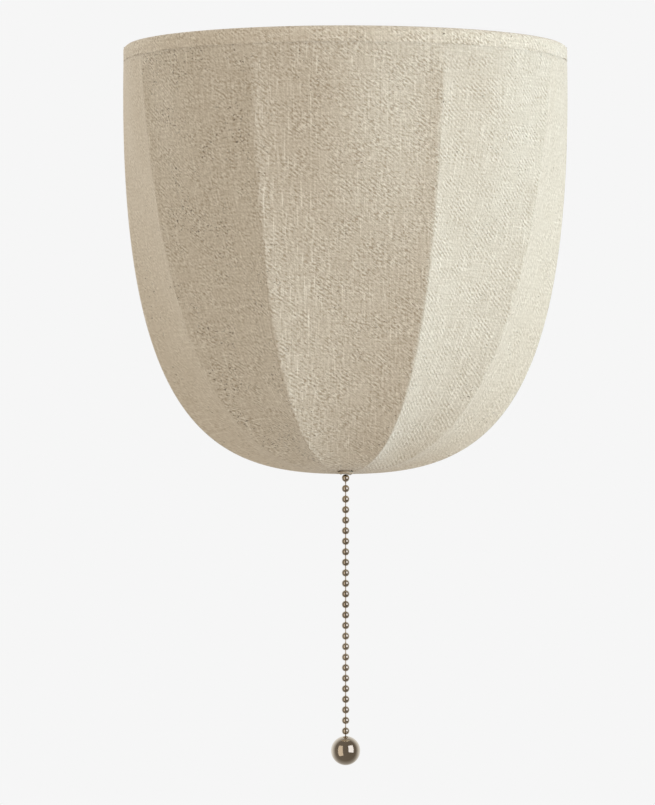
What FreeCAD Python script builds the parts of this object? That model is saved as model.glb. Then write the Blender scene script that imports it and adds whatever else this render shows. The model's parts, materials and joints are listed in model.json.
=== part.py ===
import FreeCAD, Part
import math
import os
from FreeCAD import Vector

# Half-round fabric shade wall light with a bead-chain pull switch. Millimetres, +Z up.
# The wall is the plane y = 0 and the light stands out of it towards -Y. The origin is the
# middle of the two wall screws. Pieces are named as they would be laid out on a bench.

# Shade outline
shade_radius = 93.0        # fabric at the rim, from the wall's centre line
shade_height = 180.0       # rim to the point where the seams meet
rim_z = 95.0               # top of the hem above the wall screws
rim_handle = 165.0         # how long the outlines keep near their rim direction
wall_lean = 1.4            # degrees the wall outline starts outwards
wall_floor_handle = 53.9   # how broad the wall outline is at the bottom
rib_lean = -3.5            # degrees the front outline starts outwards
rib_floor_handle = 34.2    # how broad the front outline is at the bottom
inner_rib_angle = 25.6     # plan angle of the two middle seams
outer_rib_angle = 67.6     # plan angle of the two side seams
front_sag = 3.2            # how far the fabric pulls in between its ribs
side_sag = 2.6
wall_sag = 1.0
rim_blend = 0.3            # share of the depth in which the round rim becomes a drawn panel
panel_end_radius = 16.0    # where the panels stop short of the pole
patch_rise = 0.6           # small half-round patch that closes the pole, above the outlines' lowest point

# Materials' thicknesses and fits
fabric = 0.8               # linen on its lining
seat_gap = 0.3             # soft fabric to what carries it
seam_gap = 0.15            # half of the gap between two panels
running_fit = 0.05         # radial, turned parts
screw_fit = 0.1            # radial, screw in its hole
weld_bite = 0.5            # how far welded wires run into each other

# Shade frame
rib_wire = 1.0             # radius
frame_wire = 1.5           # radius
hem_height = 5.0
tape_width = 6.0
tape_thickness = 0.7
plate_thickness = 2.0
plate_radius = 14.0
bow_slack = 1.9            # the fabric slants inwards past the wall wire
eyelet_bore = 2.0
eyelet_wall = 0.5
eyelet_flange = 3.3
eyelet_lip = 0.7

# Wall bracket and its fixings
bracket_width = 72.0
bracket_height = 110.0
bracket_thickness = 2.0
bracket_corner = 6.0
wall_screw_spacing = 60.0
wall_hole_radius = 2.25
cable_x = -20.0
cable_z = 24.0
grommet_hole_radius = 6.0
grommet_flange_radius = 8.0
grommet_bore_radius = 4.0
grommet_flange = 1.6
m4_radius = 1.95
m3_radius = 1.5
head_radius = 3.6
small_head_radius = 2.8
head_height = 2.4
washer_radius = 4.5
washer_thickness = 1.0
shank_end = 0.2            # screw ends stay this far in front of the wall

# Arm that carries the lampholder
arm_width = 22.0
arm_strip = 2.0
arm_leg_top = -14.0
arm_flange_top = 8.0
arm_overhang = 14.0
arm_bend = 1.5
arm_screw_half = 7.0
arm_screw_z = 0.0

# Lampholder, its nipple and the shade ring
holder_y = -42.0
nipple_radius = 5.0
nipple_bore = 3.5
nipple_length = 16.0
nipple_below = 8.0
nut_flats = 14.0
nut_height = 3.0
holder_radius = 14.0
holder_wall = 1.8
holder_base_height = 13.0
holder_base_radius = 13.6
holder_base_floor = 2.0
holder_length = 32.0
shoulder_height = 7.0      # above the joint of base and shell
shoulder_thickness = 2.0
shoulder_radius = 17.0
insert_thickness = 5.5
insert_sink = 2.0          # how deep the insert sits in the base
insert_hole_x = 9.6
screw_shell_radius = 7.3
screw_shell_wall = 0.5
screw_shell_length = 25.5
carrier_outer = 24.0
carrier_thickness = 1.6
ring_wall = 4.0
ring_height = 6.0
arm_wire_clearance = 23.0  # from the fabric at the rim to where the carrier's side wires turn up
arm_wire_bend = 9.0
rear_wire_y = -8.0
rear_wire_turn = 8.0       # below the hoop
rear_wire_bend = 4.0

# Lamp
cap_radius = 6.95
cap_length = 21.5
cap_pitch = 2.82
bulb_radius = 22.5
bulb_length = 78.0
glass = 0.8
contact_gap = 0.3
tongue_rise = 2.1          # centre contact's spring above the insert
insulator_height = 3.6     # from the lamp's tip to its cap
neck_slack = 1.1           # glass neck inside the cap
neck_sink = 5.0

# Terminal block and leads
terminal_width = 28.0
terminal_height = 12.0
terminal_depth = 13.0
terminal_x = 20.0
terminal_z = 24.0
terminal_pitch = 9.0
terminal_bore = 1.6
earth_x = -24.0
earth_z = -28.0
lead_radius = 1.0

# Pull switch
chain_y = -9.5
switch_width = 32.0
switch_height = 32.0
switch_depth = 15.0
switch_top = -20.0
switch_wall = 1.5
switch_ear = 6.0
ear_height = 8.0
barrel_radius = 4.5
barrel_bore = 2.3
barrel_length = 11.5
barrel_flange = 6.0
barrel_flange_thickness = 1.0
barrel_nut_flats = 13.0
spring_radius = 4.0
spring_wire = 0.35
spring_turns = 6
spring_space = 15.5
plunger_flange_radius = 5.6
plunger_flange = 2.0
plunger_half = 3.0
rotor_radius = 4.4
rotor_length = 7.0
rotor_gap = 0.3
contact_strip = 0.8
lead_entry = 8.0           # lead holes from the switch's top, bottom and back

# Bead chain and its ball
bead_radius = 1.6
bead_pitch = 4.4
link_radius = 0.45
beads_shown = 25
first_bead_drop = 2.2      # first bead's centre below the fabric
pivot_gap = 0.15
knob_radius = 6.1
knob_drop = 8.2            # last bead's centre to the ball's centre
socket_depth = 3.0

pole_z = rim_z - shade_height
bracket_face = -bracket_thickness
up = Vector(0, 0, 1)
out_of_wall = Vector(0, -1, 0)
side = Vector(1, 0, 0)
os.makedirs("parts", exist_ok=True)


def write(name, solids):
    group = solids if isinstance(solids, list) else [solids]
    shape = group[0] if len(group) == 1 else Part.makeCompound(group)
    valid = all(s.isValid() for s in group)
    print("%-22s solids %2d volume %10.1f %s" % (name, len(shape.Solids), shape.Volume, "" if valid else "NOT VALID"))
    shape.exportStep("parts/" + name + ".step")


def block(x0, x1, y0, y1, z0, z1):
    return Part.makeBox(x1 - x0, y1 - y0, z1 - z0, Vector(x0, y0, z0))


def post(radius, x, y, z0, z1):
    return Part.makeCylinder(radius, z1 - z0, Vector(x, y, z0), up)


def peg(radius, x, z, y0, y1):
    """A cylinder along Y between two depths, y0 being nearer the wall."""
    return Part.makeCylinder(radius, y0 - y1, Vector(x, y0, z), out_of_wall)


def turned(points, x, y):
    """Solid turned about an upright axis from (radius, height) points joined by lines."""
    corners = [Vector(x + r, y, z) for r, z in points]
    face = Part.Face(Part.makePolygon(corners + corners[:1]))
    return face.revolve(Vector(x, y, 0), up, 360)


def hexagon(flats, x, y, z0, z1):
    across = flats / math.sqrt(3)
    corners = [Vector(x + across * math.cos(math.radians(60 * k)), y + across * math.sin(math.radians(60 * k)), z0)
               for k in range(7)]
    return Part.Face(Part.makePolygon(corners)).extrude(Vector(0, 0, z1 - z0))


def screw(radius, head, x, z, seat, slot_width=0.9):
    """Slotted round-head screw driven towards the wall, its head on the depth 'seat'."""
    shank = peg(radius, x, z, -shank_end, seat)
    cap = peg(head, x, z, seat, seat - head_height)
    rim = [e for e in cap.Edges if abs(e.CenterOfMass.y - seat + head_height) < 0.01 and len(e.Vertexes) == 1]
    cap = cap.makeFillet(head_height * 0.6, rim)
    slot = block(x - slot_width / 2, x + slot_width / 2, seat - head_height - 1, seat - head_height * 0.5,
                 z - head - 1, z + head + 1)
    return shank.fuse(cap).removeSplitter().cut(slot)


def bent_path(points, bend=None):
    """Straight runs joined by tangent arcs; without a bend radius each arc is as large as its runs allow."""
    edges = []
    last = points[0]
    for before, corner, after in zip(points, points[1:], points[2:]):
        into = corner - before
        out = after - corner
        half_turn = into.getAngle(out) / 2
        radius = bend or 0.45 * min(into.Length, out.Length) / math.tan(half_turn)
        cut_back = radius * math.tan(half_turn)
        start = corner - Vector(into).normalize() * cut_back
        end = corner + Vector(out).normalize() * cut_back
        middle_way = (Vector(out).normalize() - Vector(into).normalize()).normalize()
        middle = corner + middle_way * (radius / math.cos(half_turn) - radius)
        edges.append(Part.LineSegment(last, start).toShape())
        edges.append(Part.Arc(start, middle, end).toShape())
        last = end
    edges.append(Part.LineSegment(last, points[-1]).toShape())
    return Part.Wire(edges)


def rod(path, radius):
    """A round wire of the given radius along a path."""
    first = path.OrderedEdges[0]
    start = first.valueAt(first.FirstParameter)
    heading = first.tangentAt(first.FirstParameter)
    ring = Part.Wire(Part.Circle(start, heading, radius).toShape())
    return path.makePipeShell([ring], True, False)


def smooth_path(points):
    curve = Part.BSplineCurve()
    curve.interpolate(points)
    return Part.Wire(curve.toShape())


# The shade's two outlines: where it meets the wall, and along its front ribs. Each is one curve
# from the rim to the pole, in (radius, height).

def outline(lean, floor_handle):
    start = math.radians(lean)
    return [(shade_radius, rim_z),
            (shade_radius + rim_handle * math.sin(start), rim_z - rim_handle * math.cos(start)),
            (floor_handle, pole_z),
            (0.0, pole_z)]


wall_outline = outline(wall_lean, wall_floor_handle)
rib_outline = outline(rib_lean, rib_floor_handle)


def on_outline(poles, t, inset=0.0):
    """Radius, height and outward normal of an outline, moved inwards by an inset."""
    s = 1 - t
    weights = (s ** 3, 3 * s * s * t, 3 * s * t * t, t ** 3)
    r = sum(w * p[0] for w, p in zip(weights, poles))
    z = sum(w * p[1] for w, p in zip(weights, poles))
    slopes = (s * s, 2 * s * t, t * t)
    steps = [(b[0] - a[0], b[1] - a[1]) for a, b in zip(poles, poles[1:])]
    dr = sum(w * d[0] for w, d in zip(slopes, steps))
    dz = sum(w * d[1] for w, d in zip(slopes, steps))
    length = math.hypot(dr, dz)
    normal = (-dz / length, dr / length)
    return r - inset * normal[0], z - inset * normal[1], normal


def where(poles, index, value, inset=0.0):
    """Curve position where the outline passes a radius (index 0) or a height (index 1)."""
    low, high = (0.35, 1.0) if index == 0 else (0.0, 1.0)
    for _ in range(50):
        middle = (low + high) / 2
        if on_outline(poles, middle, inset)[index] > value:
            low = middle
        else:
            high = middle
    return (low + high) / 2


wall_point_count = 13       # points that the wall wire and tape are drawn through
rib_point_count = 9
station_count = 12          # cross-sections of a panel


def spread(first, last, count):
    return [first + (last - first) * k / (count - 1) for k in range(count)]


# Wall bracket, its grommet, terminals and screws

def wall_bracket():
    half_width, half_height = bracket_width / 2, bracket_height / 2
    plate = block(-half_width, half_width, bracket_face, 0, -half_height, half_height)
    corners = [e for e in plate.Edges if abs(e.tangentAt(e.FirstParameter).y) > 0.9]
    plate = plate.makeFillet(bracket_corner, corners)
    holes = [peg(wall_hole_radius, s * wall_screw_spacing / 2, 0, 1, bracket_face - 1) for s in (-1, 1)]
    holes.append(peg(grommet_hole_radius, cable_x, cable_z, 1, bracket_face - 1))
    holes += [peg(m4_radius + screw_fit, s * arm_screw_half, arm_screw_z, 1, bracket_face - 1) for s in (-1, 1)]
    holes += [peg(m3_radius + screw_fit, s * ear_x, ear_z, 1, bracket_face - 1) for s in (-1, 1)]
    holes.append(peg(m4_radius + screw_fit, earth_x, earth_z, 1, bracket_face - 1))
    return plate.cut(Part.makeCompound(holes))


def cable_grommet():
    flange = peg(grommet_flange_radius, cable_x, cable_z, bracket_face, bracket_face - grommet_flange)
    rim = [e for e in flange.Edges if abs(e.CenterOfMass.y - bracket_face + grommet_flange) < 0.01
           and len(e.Vertexes) == 1]
    flange = flange.makeFillet(grommet_flange * 0.5, rim)
    hub = peg(grommet_hole_radius - screw_fit, cable_x, cable_z, -shank_end, bracket_face)
    bore = peg(grommet_bore_radius, cable_x, cable_z, 1, bracket_face - grommet_flange - 1)
    return flange.fuse(hub).removeSplitter().cut(bore)


terminal_lead_y = bracket_face - terminal_depth * 0.55


def terminal_ways():
    return [terminal_x + terminal_pitch * k for k in (-1, 0, 1)]


def terminal_block():
    y_front = bracket_face - terminal_depth
    body = block(terminal_x - terminal_width / 2, terminal_x + terminal_width / 2, y_front, bracket_face,
                 terminal_z - terminal_height / 2, terminal_z + terminal_height / 2)
    front = [e for e in body.Edges if abs(e.CenterOfMass.y - y_front) < 0.01]
    body = body.makeFillet(1.0, front)
    cuts = []
    for x in terminal_ways():
        cuts.append(post(terminal_bore, x, terminal_lead_y, terminal_z - terminal_height, terminal_z + terminal_height))
        cuts.append(peg(terminal_bore + screw_fit, x, terminal_z, terminal_lead_y, y_front - 1))
    for x in (terminal_x - terminal_pitch / 2, terminal_x + terminal_pitch / 2):
        cuts.append(block(x - 0.6, x + 0.6, y_front - 1, y_front + 4, terminal_z - terminal_height,
                          terminal_z + terminal_height))
    return body.cut(Part.makeCompound(cuts))


def terminal_screws():
    tip = terminal_lead_y - lead_radius - seat_gap
    head = bracket_face - terminal_depth + 1.2
    screws = []
    for x in terminal_ways():
        stud = peg(terminal_bore, x, terminal_z, tip, head)
        slot = block(x - 0.35, x + 0.35, head - 1, head + 0.9, terminal_z - 3, terminal_z + 3)
        screws.append(stud.cut(slot))
    return screws


def earth_terminal():
    washer = peg(washer_radius, earth_x, earth_z, bracket_face, bracket_face - washer_thickness)
    washer = washer.cut(peg(m4_radius + screw_fit, earth_x, earth_z, 0, bracket_face - 2))
    return [washer, screw(m4_radius, head_radius, earth_x, earth_z, bracket_face - washer_thickness)]


# Arm, lampholder and shade carrier

def holder_arm():
    face_y = bracket_face
    front = face_y - arm_strip
    low = arm_leg_top - arm_strip
    outer = arm_bend + arm_strip
    centre_y, centre_z = face_y - outer, low + outer
    reach = holder_y - arm_overhang
    diagonal = math.sqrt(0.5)

    def at(y, z):
        return Vector(-arm_width / 2, y, z)

    def bend_arc(start, radius, end):
        middle = at(centre_y + radius * diagonal, centre_z - radius * diagonal)
        return Part.Arc(start, middle, end).toShape()

    corners = [at(face_y, arm_flange_top), at(face_y, centre_z), at(centre_y, low), at(reach, low),
               at(reach, arm_leg_top), at(centre_y, arm_leg_top), at(front, centre_z), at(front, arm_flange_top)]
    edges = [Part.LineSegment(corners[0], corners[1]).toShape(),
             bend_arc(corners[1], outer, corners[2]),
             Part.LineSegment(corners[2], corners[3]).toShape(),
             Part.LineSegment(corners[3], corners[4]).toShape(),
             Part.LineSegment(corners[4], corners[5]).toShape(),
             bend_arc(corners[5], arm_bend, corners[6]),
             Part.LineSegment(corners[6], corners[7]).toShape(),
             Part.LineSegment(corners[7], corners[0]).toShape()]
    strip = Part.Face(Part.Wire(edges)).extrude(Vector(arm_width, 0, 0))
    tip = [e for e in strip.Edges if abs(e.tangentAt(e.FirstParameter).z) > 0.9
           and abs(e.CenterOfMass.y - reach) < 0.01]
    strip = strip.makeFillet(arm_width * 0.4, tip)
    holes = [peg(m4_radius + screw_fit, s * arm_screw_half, arm_screw_z, 0, front - 1) for s in (-1, 1)]
    holes.append(post(nipple_radius + running_fit, 0, holder_y, low - 1, arm_leg_top + 1))
    return strip.cut(Part.makeCompound(holes))


base_top = arm_leg_top + holder_base_height
shell_bore = holder_radius - holder_wall
insert_low = base_top - insert_sink
insert_top = insert_low + insert_thickness
shoulder_top = base_top + shoulder_height + shoulder_thickness
carrier_top = shoulder_top + carrier_thickness


def nipple():
    low = arm_leg_top - nipple_below
    tube = post(nipple_radius, 0, holder_y, low, low + nipple_length)
    return tube.cut(post(nipple_bore, 0, holder_y, low - 1, low + nipple_length + 1))


def nipple_nut():
    top = arm_leg_top - arm_strip
    nut = hexagon(nut_flats, 0, holder_y, top - nut_height, top)
    return nut.cut(post(nipple_radius + running_fit, 0, holder_y, top - nut_height - 1, top + 1))


def holder_base():
    bore = nipple_radius + running_fit
    floor = arm_leg_top + holder_base_floor
    seat = shell_bore - holder_wall
    return turned([(bore, arm_leg_top), (holder_base_radius - 1, arm_leg_top), (holder_base_radius, arm_leg_top + 1),
                   (holder_base_radius, base_top), (shell_bore - screw_fit, base_top),
                   (shell_bore - screw_fit, insert_low), (seat, insert_low), (seat, floor), (bore, floor)],
                  0, holder_y)


def holder_shell():
    shoulder = base_top + shoulder_height
    top = base_top + holder_length
    return turned([(shell_bore, base_top), (holder_radius, base_top), (holder_radius, shoulder),
                   (shoulder_radius, shoulder), (shoulder_radius, shoulder_top), (holder_radius, shoulder_top),
                   (holder_radius, top - 0.6), (holder_radius - 0.6, top), (shell_bore, top)], 0, holder_y)


def holder_insert():
    disc = post(shell_bore - 2 * screw_fit, 0, holder_y, insert_low, insert_top)
    wire_holes = [post(lead_radius + screw_fit, x, holder_y + 3, insert_low - 1, insert_top + 1) for x in (-insert_hole_x, insert_hole_x)]
    return disc.cut(Part.makeCompound(wire_holes))


def holder_screw_shell():
    outer = screw_shell_radius + screw_shell_wall
    top = insert_top + screw_shell_length
    return turned([(screw_shell_radius, insert_top), (outer, insert_top), (outer, top), (screw_shell_radius, top)],
                  0, holder_y)


contact_z = insert_top + tongue_rise + contact_gap
cap_low = contact_z + insulator_height
neck_radius = cap_radius - neck_slack
neck_low = cap_low + cap_length - neck_sink


def holder_tongue():
    """Springy centre contact: a foot on the insert and a leaf that rises to the lamp."""
    y0, y1, y2 = holder_y + 6.0, holder_y + 3.0, holder_y - 1.5
    low, leaf = insert_top, 0.6
    tip = contact_z - contact_gap
    corners = [Vector(-2, y0, low), Vector(-2, y1, low), Vector(-2, y2, tip - leaf), Vector(-2, y2, tip),
               Vector(-2, y1, low + leaf), Vector(-2, y0, low + leaf)]
    return Part.Face(Part.makePolygon(corners + corners[:1])).extrude(Vector(4, 0, 0))


def carrier_ring():
    inner = holder_radius + seat_gap
    return turned([(inner, shoulder_top), (carrier_outer, shoulder_top), (carrier_outer, carrier_top),
                   (inner, carrier_top)], 0, holder_y)


def shade_ring():
    inner = holder_radius + running_fit
    outer = holder_radius + ring_wall
    top = carrier_top + ring_height
    ring = turned([(inner, carrier_top), (outer - 0.5, carrier_top), (outer, carrier_top + 0.5), (outer, top - 0.8),
                   (outer - 0.8, top), (inner, top)], 0, holder_y)
    grips = []
    for k in range(16):
        angle = math.radians(360 * k / 16)
        grips.append(post(0.7, (outer + 0.2) * math.sin(angle), holder_y + (outer + 0.2) * math.cos(angle),
                          carrier_top + 1.5, top + 1))
    return ring.cut(Part.makeCompound(grips))


hem_radius = frame_wire + seat_gap + fabric
hoop_z = rim_z - hem_radius
hoop_radius = shade_radius + 0.4 - hem_radius
bow_inset = fabric + seat_gap + frame_wire + bow_slack
rib_inset = fabric + seat_gap + rib_wire
frame_y = -(tape_thickness + seat_gap + frame_wire)
panel_edge_y = -(tape_thickness + seat_gap)
carrier_wire_z = carrier_top + rib_wire - seat_gap


def carrier_wire_side(sign):
    """Wire from the carrier ring out between two ribs and up to the hoop."""
    angle = math.radians((inner_rib_angle + outer_rib_angle) / 2)
    reach = shade_radius - arm_wire_clearance
    rim_point = Vector(sign * hoop_radius * math.sin(angle), -hoop_radius * math.cos(angle),
                       hoop_z - frame_wire + weld_bite)
    turn_point = Vector(sign * reach * math.sin(angle), -reach * math.cos(angle), carrier_wire_z)
    centre = Vector(0, holder_y, carrier_wire_z)
    start = centre + (turn_point - centre).normalize() * (holder_radius + ring_wall + 1.0)
    return rod(bent_path([start, turn_point, rim_point], arm_wire_bend), rib_wire)


def carrier_wire_rear():
    """Wire from the carrier ring back to the wall and up to the bar."""
    start = Vector(0, holder_y + holder_radius + ring_wall + 1.0, carrier_wire_z)
    low_turn = Vector(0, rear_wire_y, carrier_wire_z)
    high_turn = Vector(0, rear_wire_y, hoop_z - rear_wire_turn)
    end = Vector(0, frame_y - frame_wire + weld_bite, hoop_z)
    return rod(bent_path([start, low_turn, high_turn, end], rear_wire_bend), rib_wire)


# Wire frame of the shade

def top_hoop():
    """Half hoop, ending in the back frame."""
    tilt = math.asin(-frame_y / hoop_radius)
    ends = [Vector(s * hoop_radius * math.cos(tilt), frame_y, hoop_z) for s in (-1, 1)]
    arc = Part.Arc(ends[0], Vector(0, -hoop_radius, hoop_z), ends[1])
    return rod(Part.Wire(arc.toShape()), frame_wire)


def wall_curve(inset, y, top):
    """Points along the wall outline from the left rim down and round to the right rim."""
    start = where(wall_outline, 1, top, inset)
    right = []
    for t in spread(start, 1.0, wall_point_count):
        r, z, _ = on_outline(wall_outline, t, inset)
        right.append(Vector(r, y, z))
    left = [Vector(-p.x, p.y, p.z) for p in right[:-1]]
    return left + right[::-1]


def back_bow():
    return rod(smooth_path(wall_curve(bow_inset, frame_y, hoop_z)), frame_wire)


def back_bar():
    start = where(wall_outline, 1, hoop_z, bow_inset)
    half = on_outline(wall_outline, start, bow_inset)[0] - frame_wire + weld_bite
    return Part.makeCylinder(frame_wire, 2 * half, Vector(-half, frame_y, hoop_z), side)


def plan(angle, r, z):
    return Vector(r * math.sin(math.radians(angle)), -r * math.cos(math.radians(angle)), z)


def rib(angle):
    top = where(rib_outline, 1, hoop_z - frame_wire + weld_bite, rib_inset)
    low = where(rib_outline, 0, plate_radius - weld_bite, rib_inset)
    points = []
    for t in spread(top, low, rib_point_count):
        r, z, _ = on_outline(rib_outline, t, rib_inset)
        points.append(plan(angle, r, z))
    return rod(smooth_path(points), rib_wire)


patch_low = pole_z + patch_rise
plate_low = patch_low + fabric + seat_gap


def half_disc(radius, back_y, z0, z1):
    disc = post(radius, 0, 0, z0, z1)
    return disc.common(block(-radius - 1, radius + 1, -radius - 1, back_y, z0 - 1, z1 + 1))


def bottom_plate():
    plate = half_disc(plate_radius, frame_y - frame_wire + weld_bite, plate_low, plate_low + plate_thickness)
    return plate.cut(post(eyelet_bore + eyelet_wall + screw_fit, 0, chain_y, plate_low - 1, plate_low + 3))


def chain_eyelet():
    barrel = eyelet_bore + eyelet_wall
    flange_top = patch_low - seat_gap
    lip_low = plate_low + plate_thickness
    return turned([(eyelet_bore, flange_top - eyelet_lip), (eyelet_flange - 0.3, flange_top - eyelet_lip),
                   (eyelet_flange, flange_top - eyelet_lip / 2), (eyelet_flange, flange_top), (barrel, flange_top),
                   (barrel, lip_low), (eyelet_flange, lip_low), (eyelet_flange - 0.3, lip_low + eyelet_lip),
                   (eyelet_bore, lip_low + eyelet_lip)], 0, chain_y)


# Fabric of the shade

def rib_edge(angle):
    top = where(rib_outline, 1, panel_top)
    low = where(rib_outline, 0, panel_end_radius)

    def at(share):
        r, z, normal = on_outline(rib_outline, top + (low - top) * share)
        return plan(angle, r, z), plan(angle, normal[0], normal[1])
    return at


def wall_edge(sign):
    top = where(wall_outline, 1, panel_top)
    low = where(wall_outline, 0, panel_end_radius)

    def at(share):
        r, z, normal = on_outline(wall_outline, top + (low - top) * share)
        return Vector(sign * r, panel_edge_y, z), Vector(sign * normal[0], 0, normal[1])
    return at


panel_top = rim_z - hem_height - seat_gap


def panel(left, right, sag):
    """Fabric between two edges: round under the hem, then drawn in between its ribs."""
    sections = []
    for k in range(station_count):
        share = k / (station_count - 1)
        a, normal_a = left(share)
        b, normal_b = right(share)
        outward = (normal_a + normal_b).normalize()
        if k == 0:
            a.z = b.z = panel_top
            outward = Vector(outward.x, outward.y, 0).normalize()
            normal_a, normal_b = [Vector(n.x, n.y, 0).normalize() for n in (normal_a, normal_b)]
        if k == station_count - 1:
            outward = normal_a = normal_b = -up
        along = (b - a).normalize()
        chord = (b - a).Length
        roundness = shade_radius - math.sqrt(max(shade_radius ** 2 - chord ** 2 / 4, 0))
        fade = max(0.0, 1 - share / rim_blend) ** 2
        bulge = roundness * fade - sag * math.sin(math.pi * share) * (1 - fade)
        a, b = a + along * seam_gap, b - along * seam_gap
        inner_a, inner_b = a - normal_a * fabric, b - normal_b * fabric
        middle = (a + b) * 0.5 + outward * bulge
        inner_middle = (inner_a + inner_b) * 0.5 + outward * bulge
        flat = abs(bulge) < 0.02
        outer = Part.LineSegment(a, b) if flat else Part.Arc(a, middle, b)
        inner = Part.LineSegment(inner_b, inner_a) if flat else Part.Arc(inner_b, inner_middle, inner_a)
        edges = [outer, Part.LineSegment(b, inner_b), inner, Part.LineSegment(inner_a, a)]
        sections.append(Part.Wire([e.toShape() for e in edges]))
    return Part.makeLoft(sections, True, False)


def top_hem():
    """Folded binding over the hoop: an upside-down U turned half round."""
    inner = hem_radius - fabric
    low = rim_z - hem_height

    def at(r, z):
        return Vector(hoop_radius + r, 0, z)

    edges = [Part.LineSegment(at(hem_radius, low), at(hem_radius, hoop_z)),
             Part.Arc(at(hem_radius, hoop_z), at(0, hoop_z + hem_radius), at(-hem_radius, hoop_z)),
             Part.LineSegment(at(-hem_radius, hoop_z), at(-hem_radius, low)),
             Part.LineSegment(at(-hem_radius, low), at(-inner, low)),
             Part.LineSegment(at(-inner, low), at(-inner, hoop_z)),
             Part.Arc(at(-inner, hoop_z), at(0, hoop_z + inner), at(inner, hoop_z)),
             Part.LineSegment(at(inner, hoop_z), at(inner, low)),
             Part.LineSegment(at(inner, low), at(hem_radius, low))]
    section = Part.Face(Part.Wire([e.toShape() for e in edges]))
    ring = section.revolve(Vector(0, 0, 0), -up, 180)
    reach = shade_radius + hem_radius
    ring = ring.common(block(-reach, reach, -reach, panel_edge_y, low - 1, rim_z + 1))
    room = frame_wire + seat_gap
    return ring.cut(block(-hoop_radius, hoop_radius, frame_y - room, 1, low - 1, hoop_z + room))


def back_tape():
    """Flat tape that closes the fabric's edge against the wall."""
    top = rim_z - 0.6
    outer = wall_curve(0, 0, top)
    inner = wall_curve(tape_width, 0, top)[::-1]
    curves = []
    for points in (outer, inner):
        curve = Part.BSplineCurve()
        curve.interpolate(points)
        curves.append(curve.toShape())
    ends = [Part.LineSegment(outer[-1], inner[0]).toShape(), Part.LineSegment(inner[-1], outer[0]).toShape()]
    face = Part.Face(Part.Wire([curves[0], ends[0], curves[1], ends[1]]))
    return face.extrude(Vector(0, -tape_thickness, 0))


def bottom_patch():
    widest = max(inner_rib_angle, (outer_rib_angle - inner_rib_angle) / 2)
    radius = panel_end_radius * math.cos(math.radians(widest)) - seat_gap
    patch = half_disc(radius, panel_edge_y, patch_low, patch_low + fabric)
    return patch.cut(post(eyelet_bore + eyelet_wall + seat_gap, 0, chain_y, patch_low - 1, patch_low + 2))


# Lamp

def bulb_cap():
    """Screwed metal cap: a thin turned shell with a rounded thread form."""
    low = cap_low
    wall = 0.4
    rings = int(cap_length / cap_pitch) - 1
    outer = [(cap_radius - 1.2, low)]
    for k in range(rings):
        z = low + cap_pitch * (k + 0.5)
        outer += [(cap_radius - 0.5, z - cap_pitch * 0.3), (cap_radius, z), (cap_radius - 0.5, z + cap_pitch * 0.3)]
    outer.append((cap_radius - 0.1, low + cap_length))
    inner = [(r - wall, z) for r, z in reversed(outer)]
    return turned(outer + inner, 0, holder_y)


def bulb_insulator():
    return turned([(0, contact_z + 1.1), (3.4, contact_z + 1.1), (5.2, cap_low), (0, cap_low)],
                  0, holder_y)


def bulb_contact():
    return turned([(0, contact_z), (1.4, contact_z), (2.2, contact_z + 0.5), (2.2, contact_z + 1.1),
                   (0, contact_z + 1.1)], 0, holder_y)


def bulb_glass():
    """Round glass envelope with its neck in the cap, open at the neck."""
    centre = contact_z + bulb_length - bulb_radius
    neck_top = cap_low + cap_length + 1.0
    spread_angle = math.radians(50)

    def wall(inset):
        ball = bulb_radius - inset
        throat = neck_radius - inset
        shoulder = (ball * math.cos(spread_angle), centre - ball * math.sin(spread_angle))
        waist = (throat + (shoulder[0] - throat) * 0.30, neck_top + (shoulder[1] - neck_top) * 0.62)
        return [(throat, neck_low), (throat, neck_top), waist, shoulder, (ball, centre), (0, centre + ball)]

    def at(point):
        return Vector(point[0], holder_y, point[1])

    def run(points):
        p = [at(q) for q in points]
        return [Part.LineSegment(p[0], p[1]).toShape(), Part.Arc(p[1], p[2], p[3]).toShape(),
                Part.Arc(p[3], p[4], p[5]).toShape()]

    outer, inner = wall(0), wall(glass)
    edges = run(outer) + [Part.LineSegment(at(outer[-1]), at(inner[-1])).toShape()] + run(inner)
    edges.append(Part.LineSegment(at(inner[0]), at(outer[0])).toShape())
    face = Part.Face(Part.Wire(Part.sortEdges(edges)[0]))
    return face.revolve(Vector(0, holder_y, 0), up, 360)


def bulb_filament():
    """Glass stem that carries four light rods between two small spreaders."""
    low = neck_low
    waist = low + 18.0
    top = waist + 24.0
    stem = post(neck_radius - glass - 0.2, 0, holder_y, low, low + 1.5)
    pieces = [post(2.0, 0, holder_y, low, waist), post(6.3, 0, holder_y, waist, waist + 0.8),
              post(6.3, 0, holder_y, top, top + 0.8)]
    for k in range(4):
        angle = math.radians(45 + 90 * k)
        pieces.append(post(0.8, 5.0 * math.cos(angle), holder_y + 5.0 * math.sin(angle), waist, top + 0.8))
    return stem.multiFuse(pieces).removeSplitter()


# Pull switch

switch_low = switch_top - switch_height
cavity_low = switch_low + switch_wall
cavity_top = switch_top - switch_wall
cavity_back = bracket_face - switch_wall
switch_front = bracket_face - switch_depth
cavity_half = switch_width / 2 - switch_wall
ear_x = switch_width / 2 + switch_ear / 2
ear_z = switch_top - switch_height / 2
upper_lead_z = switch_top - lead_entry
lower_lead_z = switch_low + lead_entry
switch_lead_y = bracket_face - lead_entry
barrel_flange_top = cavity_low + barrel_flange_thickness
flange_low = barrel_flange_top + spring_space
flange_top = flange_low + plunger_flange
rotor_x = plunger_half + rotor_gap + rotor_radius
rotor_z = flange_top + 1.5


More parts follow.
